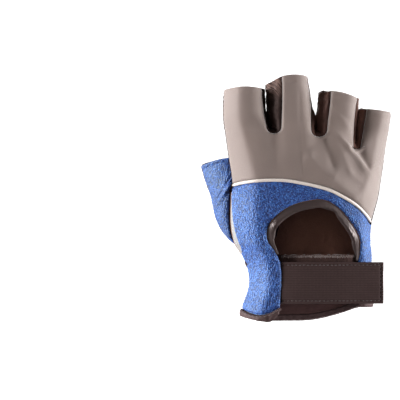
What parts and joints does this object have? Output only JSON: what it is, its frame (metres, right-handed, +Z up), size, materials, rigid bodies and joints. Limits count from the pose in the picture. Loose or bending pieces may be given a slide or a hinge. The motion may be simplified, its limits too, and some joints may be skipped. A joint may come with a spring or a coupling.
{
  "type": "half-finger work glove",
  "caption": "Half-finger work glove for the right hand: leather palm with a sewn pad, stretch and terry back with an open vent, and a hook-and-loop wrist strap.",
  "frame": {"origin": "under the middle of the glove's box, on the surface that the palm rests on", "axes": "+Z up out of the back of the hand, +Y towards the fingertips, +X towards the little finger"},
  "size_m": [0.1236, 0.1604, 0.0333],
  "materials": {
    "cloth": "matt stretch knit",
    "terry": "looped terry",
    "leather": "soft sheen, fine grain",
    "piping": "smooth, slight sheen",
    "webbing": "matt woven tape"
  },
  "bodies": {
    "root": {"back_panel": "cloth", "piping": "piping", "terry_panel": "terry", "vent_binding": "leather", "fourchette_index_middle": "leather", "fourchette_middle_ring": "leather", "fourchette_ring_little": "leather", "palm_panel": "leather", "palm_pad": "leather", "index_strip": "leather", "thumb_palm": "leather", "thumb_back": "terry", "cuff_binding": "leather", "closure_strap": "webbing", "hook_tape": "webbing", "loop_tab": "webbing"}
  },
  "joints": []
}
